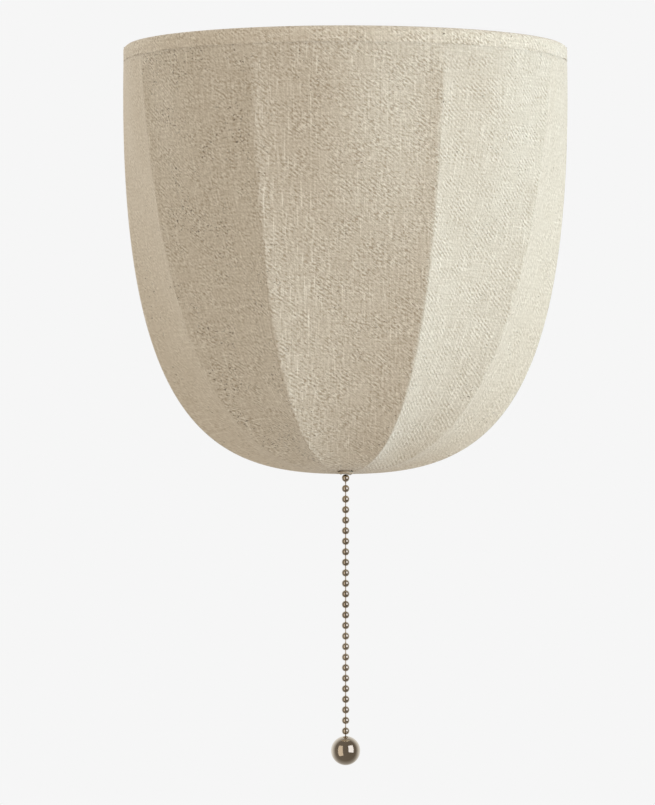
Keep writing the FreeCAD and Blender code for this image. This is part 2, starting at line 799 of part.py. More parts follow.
def switch_housing():
    half = switch_width / 2
    body = block(-half, half, switch_front, bracket_face, switch_low, switch_top)
    body = body.makeFillet(1.2, [e for e in body.Edges if abs(e.tangentAt(e.FirstParameter).y) > 0.9])
    ears = block(-half - switch_ear, half + switch_ear, bracket_face - 2.0, bracket_face,
                 ear_z - ear_height / 2, ear_z + ear_height / 2)
    body = body.fuse(ears).removeSplitter()
    cuts = [block(-cavity_half, cavity_half, switch_front - 1, cavity_back, cavity_low, cavity_top),
            post(barrel_radius + running_fit, 0, chain_y, switch_low - 1, cavity_low + 1)]
    cuts += [peg(m3_radius + screw_fit, s * ear_x, ear_z, 0, bracket_face - 3) for s in (-1, 1)]
    for z in (upper_lead_z, lower_lead_z):
        cuts.append(Part.makeCylinder(lead_radius + 0.4, 2 * switch_wall + 1,
                                      Vector(cavity_half - 1, switch_lead_y, z), side))
    return body.cut(Part.makeCompound(cuts))


def switch_cover():
    half = switch_width / 2
    plate = block(-half, half, switch_front - switch_wall, switch_front, switch_low, switch_top)
    plate = plate.makeFillet(1.2, [e for e in plate.Edges if abs(e.tangentAt(e.FirstParameter).y) > 0.9])
    edge = cavity_half - 0.2
    lip = block(-edge, edge, switch_front, switch_front + 1.2, cavity_low + 0.2, cavity_top - 0.2)
    lip = lip.cut(block(-edge + 1, edge - 1, switch_front - 1, switch_front + 3, cavity_low + 1.2, cavity_top - 1.2))
    return plate.fuse(lip).removeSplitter()


def switch_barrel():
    low = cavity_low - barrel_length
    return turned([(barrel_bore, low), (barrel_radius - 0.5, low), (barrel_radius, low + 0.5),
                   (barrel_radius, cavity_low), (barrel_flange, cavity_low), (barrel_flange, barrel_flange_top),
                   (barrel_bore, barrel_flange_top)], 0, chain_y)


def barrel_nut():
    nut = hexagon(barrel_nut_flats, 0, chain_y, switch_low - nut_height, switch_low)
    return nut.cut(post(barrel_radius + running_fit, 0, chain_y, switch_low - nut_height - 1, switch_low + 1))


def return_spring():
    height = spring_space - 2 * spring_wire
    helix = Part.makeHelix(height / spring_turns, height, spring_radius)
    helix.translate(Vector(0, chain_y, barrel_flange_top + spring_wire))
    path = Part.Wire(helix.Edges)
    first = path.Edges[0]
    ring = Part.Wire(Part.Circle(first.valueAt(first.FirstParameter), first.tangentAt(first.FirstParameter),
                                 spring_wire).toShape())
    return path.makePipeShell([ring], True, True)


def bead_z(number):
    """Height of a bead's centre; number 0 is the one just under the fabric, upwards is positive."""
    return pole_z - first_bead_drop + bead_pitch * number


held_bead = int((flange_top + bead_radius - bead_z(0)) / bead_pitch) + 1


def switch_plunger():
    """Slider with a pocket that holds the chain's top bead and a flat side against the drum."""
    top = cavity_top - 0.7
    flange = post(plunger_flange_radius, 0, chain_y, flange_low, flange_top)
    flange = flange.common(block(-plunger_flange_radius - 1, plunger_half, chain_y - 10, chain_y + 10,
                                 flange_low - 1, flange_top + 1))
    body = block(-plunger_half, plunger_half, chain_y - plunger_half, chain_y + plunger_half, flange_top, top)
    pocket = bead_radius + pivot_gap
    centre = Vector(0, chain_y, bead_z(held_bead))
    slot = link_radius + 0.2
    cuts = [Part.makeSphere(pocket, centre),
            block(-pocket, pocket, chain_y - 8, chain_y, centre.z - pocket, centre.z + pocket),
            block(-slot, slot, chain_y - 8, chain_y, flange_low - 1, centre.z),
            post(slot, 0, chain_y, flange_low - 1, centre.z),
            Part.makeSphere(pocket, Vector(0, chain_y, bead_z(held_bead - 1)))]
    return flange.fuse(body).removeSplitter().cut(Part.makeCompound(cuts))


def switch_rotor():
    y0 = chain_y + rotor_length / 2
    drum = peg(rotor_radius, rotor_x, rotor_z, y0, y0 - rotor_length)
    notches = []
    for k in range(8):
        angle = math.radians(45 * k + 22.5)
        notches.append(peg(0.5, rotor_x + rotor_radius * math.cos(angle), rotor_z + rotor_radius * math.sin(angle),
                           y0 + 1, y0 - rotor_length - 1))
    notches.append(peg(m3_radius + running_fit, rotor_x, rotor_z, y0 + 1, y0 - rotor_length - 1))
    return drum.cut(Part.makeCompound(notches))


def rotor_pin():
    return peg(m3_radius, rotor_x, rotor_z, cavity_back, switch_front + seat_gap)


def contact_live():
    """Strip on the side wall with a rounded nose next to the drum."""
    x1 = cavity_half
    strip = block(x1 - contact_strip, x1, chain_y - 3, chain_y + 3, rotor_z - 3.5, cavity_top - 0.4)
    nose_x = rotor_x + rotor_radius + rotor_gap
    nose = block(nose_x, x1, chain_y - 2, chain_y + 2, rotor_z - 0.6, rotor_z + 0.6)
    return strip.fuse(nose).removeSplitter()


def contact_load():
    """Bent strip lower on the side wall, its finger under the drum."""
    x1 = cavity_half
    finger_top = rotor_z - rotor_radius - rotor_gap
    strip = block(x1 - contact_strip, x1, chain_y - 2.5, chain_y + 2.5, cavity_low + 0.4, finger_top)
    finger = block(rotor_x - 1.0, x1, chain_y - 2.5, chain_y + 2.5, finger_top - contact_strip, finger_top)
    return strip.fuse(finger).removeSplitter()


# Leads, held all the way between the terminals, the switch and the lampholder

def lead(name, points):
    radii = []
    for before, corner, after in zip(points, points[1:], points[2:]):
        half_turn = (corner - before).getAngle(after - corner) / 2
        radii.append(0.45 * min((corner - before).Length, (after - corner).Length) / math.tan(half_turn))
    print("%s radii %s" % (name, ", ".join("%.1f" % r for r in radii)))
    path = bent_path(points)
    tube = rod(path, lead_radius)
    expected = path.Length * math.pi * lead_radius ** 2
    print("%s volume %.1f of %.1f" % (name, tube.Volume, expected))
    return tube


holder_lead_x = 1.6
nipple_low = arm_leg_top - nipple_below
lead_end_z = insert_low - seat_gap


def lead_live():
    x = terminal_x - terminal_pitch
    y = terminal_lead_y
    return lead("lead_live", [
        Vector(x, y, terminal_z), Vector(x, y, terminal_z - 11), Vector(x + 7, y, terminal_z - 20),
        Vector(x + 13, y, terminal_z - 31), Vector(x + 15, switch_lead_y, terminal_z - 42),
        Vector(x + 11, switch_lead_y, upper_lead_z), Vector(cavity_half + running_fit, switch_lead_y, upper_lead_z)])


def lead_neutral():
    x = terminal_x
    y = terminal_lead_y
    return lead("lead_neutral", [
        Vector(x, y, terminal_z), Vector(x, y, terminal_z - 11), Vector(x + 4, y - 4, terminal_z - 22),
        Vector(x + 3, y - 12, terminal_z - 35), Vector(x - 5, y - 22, terminal_z - 47),
        Vector(x - 14, holder_y + 2, terminal_z - 55), Vector(holder_lead_x, holder_y, nipple_low - 4),
        Vector(holder_lead_x, holder_y, lead_end_z)])


def lead_switched():
    return lead("lead_switched", [
        Vector(cavity_half, switch_lead_y, lower_lead_z), Vector(cavity_half + 8, switch_lead_y, lower_lead_z),
        Vector(cavity_half + 13, switch_lead_y - 7, lower_lead_z + 1),
        Vector(cavity_half + 9, switch_lead_y - 18, lower_lead_z + 3),
        Vector(cavity_half - 2, switch_lead_y - 28, lower_lead_z + 4), Vector(2, holder_y + 1, lower_lead_z + 7),
        Vector(-holder_lead_x, holder_y, nipple_low - 2), Vector(-holder_lead_x, holder_y, lead_end_z)])


# Bead chain and ball

def beads(numbers, link_from, link_to):
    """Hollow-looking beads on one link wire, as one solid."""
    centres = [Vector(0, chain_y, bead_z(n)) for n in numbers]
    wire = post(link_radius, 0, chain_y, link_from, link_to)
    return wire.multiFuse([Part.makeSphere(bead_radius, c) for c in centres]).removeSplitter()


def chain_upper():
    low = bead_z(0) + bead_radius + pivot_gap
    return beads(range(1, held_bead + 1), low, bead_z(held_bead))


def chain_exit_bead():
    return Part.makeSphere(bead_radius, Vector(0, chain_y, bead_z(0)))


knob_z = bead_z(1 - beads_shown) - knob_drop


def chain_lower():
    top = bead_z(0) - bead_radius - pivot_gap
    low = knob_z + knob_radius - socket_depth + seat_gap
    return beads(range(1 - beads_shown, 0), low, top)


def pull_knob():
    ball = Part.makeSphere(knob_radius, Vector(0, chain_y, knob_z))
    return ball.cut(post(link_radius + screw_fit, 0, chain_y, knob_z + knob_radius - socket_depth,
                         knob_z + knob_radius + 1))


write("wall_bracket", wall_bracket())
write("cable_grommet", cable_grommet())
write("terminal_block", terminal_block())
write("terminal_screws", terminal_screws())
write("earth_terminal", earth_terminal())
write("holder_arm", holder_arm())
write("arm_screws", [screw(m4_radius, head_radius, s * arm_screw_half, arm_screw_z, bracket_face - arm_strip)
                     for s in (-1, 1)])
write("nipple", nipple())
write("nipple_nut", nipple_nut())
write("holder_base", holder_base())
write("holder_shell", holder_shell())
write("holder_insert", holder_insert())
write("holder_screw_shell", holder_screw_shell())
write("holder_tongue", holder_tongue())
write("carrier_ring", carrier_ring())
write("shade_ring", shade_ring())
write("carrier_wire_left", carrier_wire_side(-1))
write("carrier_wire_right", carrier_wire_side(1))
write("carrier_wire_rear", carrier_wire_rear())
write("top_hoop", top_hoop())
write("back_bow", back_bow())
write("back_bar", back_bar())
for rib_name, rib_angle in (("rib_outer_left", -outer_rib_angle), ("rib_inner_left", -inner_rib_angle),
                            ("rib_inner_right", inner_rib_angle), ("rib_outer_right", outer_rib_angle)):
    write(rib_name, rib(rib_angle))
write("bottom_plate", bottom_plate())
write("chain_eyelet", chain_eyelet())
write("panel_wall_left", panel(wall_edge(-1), rib_edge(-outer_rib_angle), wall_sag))
write("panel_side_left", panel(rib_edge(-outer_rib_angle), rib_edge(-inner_rib_angle), side_sag))
write("panel_front", panel(rib_edge(-inner_rib_angle), rib_edge(inner_rib_angle), front_sag))
write("panel_side_right", panel(rib_edge(inner_rib_angle), rib_edge(outer_rib_angle), side_sag))
write("panel_wall_right", panel(rib_edge(outer_rib_angle), wall_edge(1), wall_sag))
write("top_hem", top_hem())
write("back_tape", back_tape())
write("bottom_patch", bottom_patch())
write("bulb_cap", bulb_cap())
write("bulb_insulator", bulb_insulator())
write("bulb_contact", bulb_contact())
write("bulb_glass", bulb_glass())
write("bulb_filament", bulb_filament())
write("switch_housing", switch_housing())
write("switch_cover", switch_cover())
write("switch_screws", [screw(m3_radius, small_head_radius, s * ear_x, ear_z, bracket_face - 2.0) for s in (-1, 1)])
write("switch_barrel", switch_barrel())
write("barrel_nut", barrel_nut())
write("return_spring", return_spring())
write("switch_plunger", switch_plunger())
write("switch_rotor", switch_rotor())
write("rotor_pin", rotor_pin())
write("contact_live", contact_live())
write("contact_load", contact_load())
write("lead_live", lead_live())
write("lead_neutral", lead_neutral())
write("lead_switched", lead_switched())
write("chain_upper", chain_upper())
write("chain_exit_bead", chain_exit_bead())
write("chain_lower", chain_lower())
write("pull_knob", pull_knob())
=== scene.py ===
import bpy
import bmesh
import json
import math
from mathutils import Matrix, Vector, noise


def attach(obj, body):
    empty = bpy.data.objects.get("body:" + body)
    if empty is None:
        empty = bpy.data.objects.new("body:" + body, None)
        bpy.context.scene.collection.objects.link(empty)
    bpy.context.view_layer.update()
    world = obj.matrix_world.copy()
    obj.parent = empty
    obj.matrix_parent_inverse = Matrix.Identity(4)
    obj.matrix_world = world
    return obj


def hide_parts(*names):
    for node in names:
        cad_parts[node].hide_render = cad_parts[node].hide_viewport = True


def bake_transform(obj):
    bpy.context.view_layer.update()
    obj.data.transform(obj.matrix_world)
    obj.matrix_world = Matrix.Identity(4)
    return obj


# Half-round linen wall shade with a bead-chain pull.
# Metres, +Z up; the wall is at y = 0 and the light stands out from it towards -Y.

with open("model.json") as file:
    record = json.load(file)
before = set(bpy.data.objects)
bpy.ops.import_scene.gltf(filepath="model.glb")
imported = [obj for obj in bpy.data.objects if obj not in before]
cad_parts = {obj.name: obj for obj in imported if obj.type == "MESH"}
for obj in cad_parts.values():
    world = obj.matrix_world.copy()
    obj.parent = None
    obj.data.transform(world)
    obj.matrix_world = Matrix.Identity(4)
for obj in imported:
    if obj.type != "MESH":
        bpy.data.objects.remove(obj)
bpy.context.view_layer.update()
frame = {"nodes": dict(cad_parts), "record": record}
nodes = frame["nodes"]
print("frame loaded, %d nodes" % len(nodes))

view = {"target": (-0.0075, 0.0, -0.055), "distance": 4.0, "azimuth": -0.4, "height": -3.33,
        "lens": 426.9, "sensor": 36, "reach": 50}


def placeFacing(thing, target, azimuth, height, distance):
    # both angles in degrees: round from the front, and up from level
    turn, lift = math.radians(azimuth), math.radians(height)
    away = Vector((math.sin(turn) * math.cos(lift), -math.cos(turn) * math.cos(lift),
                   math.sin(lift)))
    thing.location = Vector(target) + away * distance
    thing.rotation_euler = (-away).to_track_quat("-Z", "Y").to_euler()
    bpy.context.scene.collection.objects.link(thing)


def placeCamera():
    data = bpy.data.cameras.new("roomCamera")
    data.sensor_fit = "VERTICAL"
    data.sensor_width = data.sensor_height = view["sensor"]
    data.lens = view["lens"]
    data.clip_end = view["reach"]
    camera = bpy.data.objects.new("roomCamera", data)
    placeFacing(camera, view["target"], view["azimuth"], view["height"], view["distance"])
    bpy.context.scene.camera = camera
    bpy.context.scene.view_settings.view_transform = "Standard"


placeCamera()


class Wire:
    # one socket, so that shader maths reads as an expression
    def __init__(self, board, socket):
        self.board, self.socket = board, socket

    def maths(self, operation, *values):
        return self.board.add("ShaderNodeMath", {"operation": operation}, values)

    def __add__(self, other):
        return self.maths("ADD", self, other)

    def __sub__(self, other):
        return self.maths("SUBTRACT", self, other)

    def __rsub__(self, other):
        return self.maths("SUBTRACT", other, self)

    def __mul__(self, other):
        return self.maths("MULTIPLY", self, other)

    __radd__ = __add__
    __rmul__ = __mul__


class Board:
    # a node tree to which nodes are added one way
    def __init__(self, tree):
        self.tree = tree
        tree.nodes.clear()

    def add(self, kind, settings=None, values=(), out=0):
        node = self.tree.nodes.new(kind)
        for key, setting in (settings or {}).items():
            if key == "stops":
                self.setStops(node.color_ramp, setting)
            else:
                setattr(node, key, setting)
        pairs = values.items() if isinstance(values, dict) else enumerate(values)
        for slot, value in pairs:
            if isinstance(value, Wire):
                self.tree.links.new(value.socket, node.inputs[slot])
            else:
                node.inputs[slot].default_value = value
        return Wire(self, node.outputs[out]) if len(node.outputs) else None

    def setStops(self, ramp, stops):
        while len(ramp.elements) < len(stops):
            ramp.elements.new(1.0)
        for element, (place, shade) in zip(ramp.elements, stops):
            element.position = place
            element.color = grey(shade)

    def mixed(self, factor, low, high, how="MIX"):
        settings = {"data_type": "RGBA", "blend_type": how}
        return self.add("ShaderNodeMix", settings, {0: factor, 6: low, 7: high}, 2)

    def stretched(self, place, scale, detail=2.0, rough=0.5):
        moved = self.add("ShaderNodeVectorMath", {"operation": "MULTIPLY"}, [place, scale])
        return self.add("ShaderNodeTexNoise", {"noise_dimensions": "3D"},
                        {"Vector": moved, "Scale": 1.0, "Detail": detail, "Roughness": rough})

    def ramp(self, value, *stops):
        return self.add("ShaderNodeValToRGB", {"stops": stops}, [value])

    def objectPlace(self):
        return self.add("ShaderNodeTexCoord", {}, (), 3)

    def rayKinds(self):
        path = self.add("ShaderNodeLightPath")
        return {socket.name: Wire(self, socket) for socket in path.socket.node.outputs}


def paint(name, build):
    material = bpy.data.materials.new(name)
    material.use_nodes = True
    board = Board(material.node_tree)
    surface = build(board)
    board.add("ShaderNodeOutputMaterial", {}, {"Surface": surface})
    return material


def glossy(board, values, height=None, strength=0.2, depth=0.0002):
    # the bump's depth is in metres
    if height is not None:
        values["Normal"] = board.add("ShaderNodeBump", {},
                                     {"Strength": strength, "Distance": depth, "Height": height})
    return board.add("ShaderNodeBsdfPrincipled", {}, values)


def colour(red, green, blue):
    # screen colour 0..255 to linear
    return tuple(((c / 255 + 0.055) / 1.055) ** 2.4 if c > 10 else c / 255 / 12.92
                 for c in (red, green, blue)) + (1.0,)


def grey(level):
    return (level, level, level, 1)


# linear light levels; metal mirrors the pale room behind it, a dim one in front and a dim floor
room = {"pale": 0.922, "ambient": (0.775, 0.734, 0.677), "front": (0.19, 0.165, 0.14),
        "behindFrom": ((0.50, 0.0), (0.86, 1.0)), "aboveFrom": ((0.15, 0.35), (0.45, 1.0)),
        "floorZ": -7.0, "floorRadius": 20.0, "floorTone": 0.88,
        "lampDistance": 1.4, "lampsFace": (0, -0.04, 0.0)}
lamps = {  # azimuth from the front, height angle, size, watts, colour, what it lights
    "key": (45, 5, (1.1, 1.4), 8.0, (0.80, 0.86, 1.0), "cloth and metal"),
    "right": (75, 5, (0.8, 0.8), 7.94, (0.52, 0.81, 1.0), "cloth"),
    "farRight": (105, 5, (0.8, 0.8), 8.06, (0.63, 0.80, 1.0), "cloth"),
    "leftRear": (-135, 5, (0.8, 0.8), 8.02, (0.86, 0.93, 1.0), "cloth"),
    "reflector": (-44, -8, (1.0, 2.2), 4.6, (1.0, 0.88, 0.74), "metal"),
}


def lightRoom():
    world = bpy.data.worlds.new("room")
    bpy.context.scene.world = world
    world.use_nodes = True
    board = Board(world.node_tree)
    rays = board.rayKinds()
    direction = board.add("ShaderNodeTexCoord", {}, (), 0)
    depth = board.add("ShaderNodeSeparateXYZ", {}, [direction], 1)
    rise = board.add("ShaderNodeSeparateXYZ", {}, [direction], 2)
    behind = board.ramp(depth * 0.5 + 0.5, *room["behindFrom"])
    behind = behind * board.ramp(rise * 0.5 + 0.5, *room["aboveFrom"])
    pale = grey(room["pale"])
    mirrored = board.mixed(behind, room["front"] + (1,), pale)
    seen = rays["Is Camera Ray"] + rays["Is Transmission Ray"]
    lighting = board.mixed(rays["Is Glossy Ray"], room["ambient"] + (1,), mirrored)
    tone = board.mixed(seen, lighting, pale)
    background = board.add("ShaderNodeBackground", {}, {"Color": tone, "Strength": 1.0})
    board.add("ShaderNodeOutputWorld", {}, {"Surface": background})

    for name, (azimuth, height, size, watts, tint, lit) in lamps.items():
        data = bpy.data.lights.new(name, "AREA")
        data.shape = "RECTANGLE"
        data.size, data.size_y = size
        data.energy = watts
        data.color = tint
        lamp = bpy.data.objects.new(name, data)
        placeFacing(lamp, room["lampsFace"], azimuth, height, room["lampDistance"])
        lamp.visible_camera = False
        lamp.visible_diffuse = "cloth" in lit
        lamp.visible_glossy = "metal" in lit


def floorFinish(board):
    rays = board.rayKinds()
    # the floor lights the shade as a plain floor, and is seen as the same pale ground as the room
    seen = rays["Is Camera Ray"] + rays["Is Glossy Ray"] + rays["Is Transmission Ray"]
    plain = board.add("ShaderNodeBsdfDiffuse", {}, {"Color": grey(room["floorTone"])})
    pale = board.add("ShaderNodeEmission", {}, {"Color": grey(room["pale"]), "Strength": 1.0})
    return board.add("ShaderNodeMixShader", {}, [seen, plain, pale])


def finishPiece(name, bm, materials, body="root", smooth=True):
    mesh = bpy.data.meshes.new(name)
    bm.to_mesh(mesh)
    bm.free()
    for material in materials:
        mesh.materials.append(material)
    if smooth:
        mesh.polygons.foreach_set("use_smooth", [True] * len(mesh.polygons))
    piece = bpy.data.objects.new(name, mesh)
    bpy.context.scene.collection.objects.link(piece)
    if body:
        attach(piece, body)
    return piece


def applyModifiers(piece):
    evaluated = piece.evaluated_get(bpy.context.evaluated_depsgraph_get())
    mesh = bpy.data.meshes.new_from_object(evaluated)
    piece.modifiers.clear()
    piece.data = mesh


lightRoom()
floorMesh = bmesh.new()
bmesh.ops.create_circle(floorMesh, cap_ends=True, segments=64, radius=room["floorRadius"],
                        matrix=Matrix.Translation((0, 0, room["floorZ"])))
floor = finishPiece("floor", floorMesh, [paint("floorPaint", floorFinish)], body=None, smooth=False)
floor.visible_glossy = False
print("room and camera ready")


linenLook = {
    "base": colour(203, 189, 167), "dark": colour(150, 132, 107), "light": colour(238, 230, 213),
    "fleck": colour(98, 87, 72), "plain": 0.40,
    "rough": 0.92, "sheen": 0.18, "sheenRough": 0.45, "shine": 0.25,
    # pitch in metres, the others in waves per metre
    "twillPitch": 0.00145, "dash": (560.0, 1250.0, 1.0), "yarn": 1300.0, "slub": 70.0,
    "wobble": (240, 240, 1), "cover": (120, 120, 1), "grain": (1300, 1300, 1),
    "speck": (620, 1000, 1), "speckCover": (60, 60, 1),
    # the twill runs down to the right
    "twillAcross": 0.80, "twillDown": 0.60, "twillWobble": 7.0, "twillDepth": 0.09,
    # the dashes stand out more where the patches of the cover are
    "dashDepth": 0.6, "coverDepth": 1.7, "warpDepth": 0.6, "weftDepth": 0.5, "grainDepth": 0.8,
    "bumpStrength": 0.7, "bumpDepth": 0.00040,
    # from which level of a pattern its tone sets in, up to which it grows, and how strong it is
    "weaveStops": ((0.33, 0.0), (0.73, 1.0)), "weaveTone": 0.55,
    "slubStops": ((0.62, 0.0), (0.74, 1.0)), "slubTone": 0.55,
    "crossStops": ((0.63, 0.0), (0.75, 1.0)), "crossTone": 0.35,
    "speckStops": ((0.68, 0.0), (0.73, 1.0)), "speckTone": 0.8,
    "coverStops": ((0.36, 0.10), (0.62, 1.0)), "speckCoverStops": ((0.45, 0.0), (0.62, 1.0)),
    # each panel starts a step further on in the weave's plan; a band is a middle and a half width
    "panelStep": 0.37, "flecked": (0.37, 0.06), "ribbed": (1.11, 0.06), "litBand": (0.715, 0.013),
    "leftSmooth": (0.0, 0.03), "rightSmooth": (1.48, 0.03),
    # what a band adds, or takes from the dashes and the bump; the lit band's slubs and tone are
    # painted light
    "fleckedSpecks": 0.045, "ribbedDashes": 0.50, "ribbedTwill": 0.07, "litBandSlubs": 0.035,
    "litBandTone": 0.2, "smoothPlain": 0.25, "smoothBump": 0.3,
}


def linenFinish(board, paintedLightness=1.0):
    look = linenLook
    place = board.add("ShaderNodeUVMap", {"uv_map": "weave"})
    across = board.add("ShaderNodeSeparateXYZ", {}, [place], 0)
    along = board.add("ShaderNodeSeparateXYZ", {}, [place], 1)

    def band(name):
        return across.maths("COMPARE", across, *look[name])

    # the left side panel has more flecks, the right one shows its twill most, the wall panels are
    # smooth; beside the front panel's left seam, more and lighter slubs are painted light
    flecked, ribbed, litBand = band("flecked"), band("ribbed"), band("litBand")
    smooth = band("leftSmooth") + band("rightSmooth")
    slantwise = across * look["twillAcross"] - along * look["twillDown"]
    crosswise = across * look["twillDown"] + along * look["twillAcross"]
    # short dashes that fade in and out
    slanted = board.add("ShaderNodeCombineXYZ", {}, [slantwise, crosswise])
    dashes = board.stretched(slanted, look["dash"], 2.0, 0.55)
    wobble = board.stretched(place, look["wobble"], 2.0)
    phase = crosswise * (2 * math.pi / look["twillPitch"]) + wobble * look["twillWobble"]
    cover = board.ramp(board.stretched(place, look["cover"], 2.0), *look["coverStops"])
    twill = phase.maths("SINE", phase) * cover
    warp = board.stretched(place, (look["yarn"], look["slub"], 1), 3.0, 0.6)
    weft = board.stretched(place, (look["slub"], look["yarn"], 1), 3.0, 0.6)
    grain = board.stretched(place, look["grain"], 2.0, 0.7)
    threads = (dashes - 0.5) * (cover * look["coverDepth"] + look["dashDepth"])
    threads = threads * (1.0 - ribbed * look["ribbedDashes"])
    threads = threads + twill * (ribbed * look["ribbedTwill"] + look["twillDepth"])
    yarns = threads + warp * look["warpDepth"] + weft * look["weftDepth"]
    height = yarns + grain * look["grainDepth"]
    weave = board.ramp(height * look["weaveTone"], *look["weaveStops"])
    body = board.mixed(weave, look["dark"], look["light"])
    body = board.mixed(smooth * look["smoothPlain"] + look["plain"], body, look["base"])
    # painted light: the band beside the front panel's left seam gets more and lighter slubs
    slubs = board.ramp(warp + litBand * look["litBandSlubs"], *look["slubStops"])
    slubs = slubs * (litBand * look["litBandTone"] + look["slubTone"])
    body = board.mixed(slubs, body, look["light"])
    crossSlubs = board.ramp(weft, *look["crossStops"]) * look["crossTone"]
    body = board.mixed(crossSlubs, body, look["light"])
    specks = board.stretched(place, look["speck"], 1.0) + flecked * look["fleckedSpecks"]
    speckCover = board.stretched(place, look["speckCover"], 1.0)
    specks = board.ramp(specks, *look["speckStops"])
    specks = specks * board.ramp(speckCover, *look["speckCoverStops"])
    body = board.mixed(specks * look["speckTone"], body, look["fleck"])
    # above 1 the cloth is painted lighter, as painted light
    body = board.mixed(1.0, body, grey(paintedLightness), "MULTIPLY")
    values = {"Base Color": body, "Roughness": look["rough"], "Specular IOR Level": look["shine"],
              "Sheen Weight": look["sheen"], "Sheen Roughness": look["sheenRough"]}
    return glossy(board, values, height, depth=look["bumpDepth"],
                  strength=look["bumpStrength"] - smooth * look["smoothBump"])


def liningFinish(board):
    place = board.add("ShaderNodeUVMap", {"uv_map": "weave"})
    warp = board.stretched(place, (1800, 160, 1), 2.0)
    weft = board.stretched(place, (160, 1800, 1), 2.0)
    weave = warp + weft
    pale = board.ramp(weave * 0.5, (0.35, 0.0), (0.65, 1.0))
    body = board.mixed(pale, colour(221, 214, 200), colour(238, 233, 222))
    return glossy(board, {"Base Color": body, "Roughness": 0.85, "Sheen Weight": 0.1},
                  weave, strength=0.3, depth=0.0002)


# where a cloudy surface goes over from its first colour to its second
cloudStops = ((0.35, 0.0), (0.7, 1.0))


def metalFinish(base, worn, rough):
    def build(board):
        place = board.objectPlace()
        cloudy = board.stretched(place, (60, 60, 60), 3.0)
        fine = board.stretched(place, (900, 900, 900), 2.0)
        body = board.mixed(board.ramp(cloudy, *cloudStops), colour(*base), colour(*worn))
        roughness = rough + fine * (rough * 0.5)
        return glossy(board, {"Base Color": body, "Metallic": 1.0, "Roughness": roughness},
                      fine, strength=0.06, depth=0.00005)
    return build


def zincFinish(board):
    place = board.objectPlace()
    crystals = board.add("ShaderNodeTexVoronoi", {"feature": "F1"},
                         {"Vector": place, "Scale": 260.0}, 1)
    lot = board.add("ShaderNodeSeparateXYZ", {}, [crystals], 0)
    fine = board.stretched(place, (1500, 1500, 1500), 2.0)
    body = board.mixed(lot, colour(186, 189, 190), colour(208, 210, 211))
    roughness = lot * 0.14 + fine * 0.1 + 0.3
    return glossy(board, {"Base Color": body, "Metallic": 1.0, "Roughness": roughness},
                  fine, strength=0.1, depth=0.00005)


def plasticFinish(base, other, rough):
    def build(board):
        place = board.objectPlace()
        cloudy = board.stretched(place, (45, 45, 45), 2.0)
        grain = board.stretched(place, (2600, 2600, 2600), 2.0)
        body = board.mixed(board.ramp(cloudy, *cloudStops), colour(*base), colour(*other))
        return glossy(board, {"Base Color": body, "Roughness": rough + grain * 0.08},
                      grain, strength=0.12, depth=0.00004)
    return build


def rubberFinish(board):
    place = board.objectPlace()
    dust = board.stretched(place, (300, 300, 300), 3.0)
    dusty = board.ramp(dust, (0.45, 0.0), (0.75, 1.0))
    body = board.mixed(dusty, colour(33, 33, 34), colour(58, 57, 56))
    return glossy(board, {"Base Color": body, "Roughness": 0.62 + dust * 0.15},
                  dust, strength=0.15, depth=0.00006)


def clearGlassFinish(board):
    place = board.objectPlace()
    smear = board.stretched(place, (70, 70, 40), 2.0)
    roughness = board.ramp(smear, (0.4, 0.0), (0.75, 0.06))
    return glossy(board, {"Base Color": colour(250, 251, 251), "Transmission Weight": 1.0,
                          "IOR": 1.46, "Roughness": roughness})


def stemGlassFinish(board):
    place = board.objectPlace()
    fine = board.stretched(place, (500, 500, 900), 2.0)
    glow = board.ramp(fine, (0.4, 0.0), (0.7, 1.0))
    body = board.mixed(glow, colour(232, 205, 120), colour(246, 232, 178))
    return glossy(board, {"Base Color": body, "Roughness": 0.35 + fine * 0.2},
                  fine, strength=0.1, depth=0.00005)


finishes = {
    "zinc_steel": paint("zincPlate", zincFinish),
    "black_rubber": paint("blackRubber", rubberFinish),
    "white_plastic": paint("whiteMoulding", plasticFinish((236, 235, 230), (228, 227, 221), 0.42)),
    "white_holder": paint("holderPlastic", plasticFinish((240, 239, 235), (232, 231, 226), 0.34)),
    "brass": paint("brass", metalFinish((214, 178, 104), (188, 150, 84), 0.22)),
    "ceramic": paint("glazedClay", plasticFinish((240, 238, 231), (229, 226, 217), 0.2)),
    "white_wire": paint("whiteWire", plasticFinish((235, 233, 227), (224, 221, 213), 0.3)),
    "nickel": paint("brightNickel", metalFinish((214, 204, 188), (190, 178, 160), 0.07)),
    "black_glass": paint("blackGlass", plasticFinish((26, 25, 27), (34, 33, 35), 0.12)),
    "solder": paint("solder", metalFinish((176, 174, 170), (150, 148, 145), 0.35)),
    "bulb_glass": paint("clearGlass", clearGlassFinish),
    "filament": paint("lightRods", stemGlassFinish),
    "spring_steel": paint("springSteel", metalFinish((168, 169, 172), (146, 146, 150), 0.24)),
    "grey_plastic": paint("greyMoulding", plasticFinish((150, 152, 153), (140, 142, 143), 0.4)),
    "lead_brown": paint("brownSleeve", plasticFinish((106, 66, 42), (96, 59, 37), 0.35)),
    "lead_blue": paint("blueSleeve", plasticFinish((52, 92, 158), (46, 83, 146), 0.35)),
}
lining = paint("lining", liningFinish)
finishes["linen"] = paint("linen", linenFinish)
# the binding and the wall tape are painted a little lighter: painted light on the binding's rolled
# top
finishes["linen_binding"] = paint("litBindingLinen", lambda board: linenFinish(board, 1.08))

for subpart in frame["record"]["subparts"]:
    node = nodes[subpart["node"]]
    node.data.materials.clear()
    node.data.materials.append(finishes[subpart["material_slot"]])
# in the photo the outlet hardly stands out from the cloth
eyeletEnamel = paint("eyeletEnamel", plasticFinish((182, 167, 144), (170, 155, 131), 0.7))
nodes["chain_eyelet"].data.materials[0] = eyeletEnamel
print("%d finishes on the frame's nodes" % len(finishes))


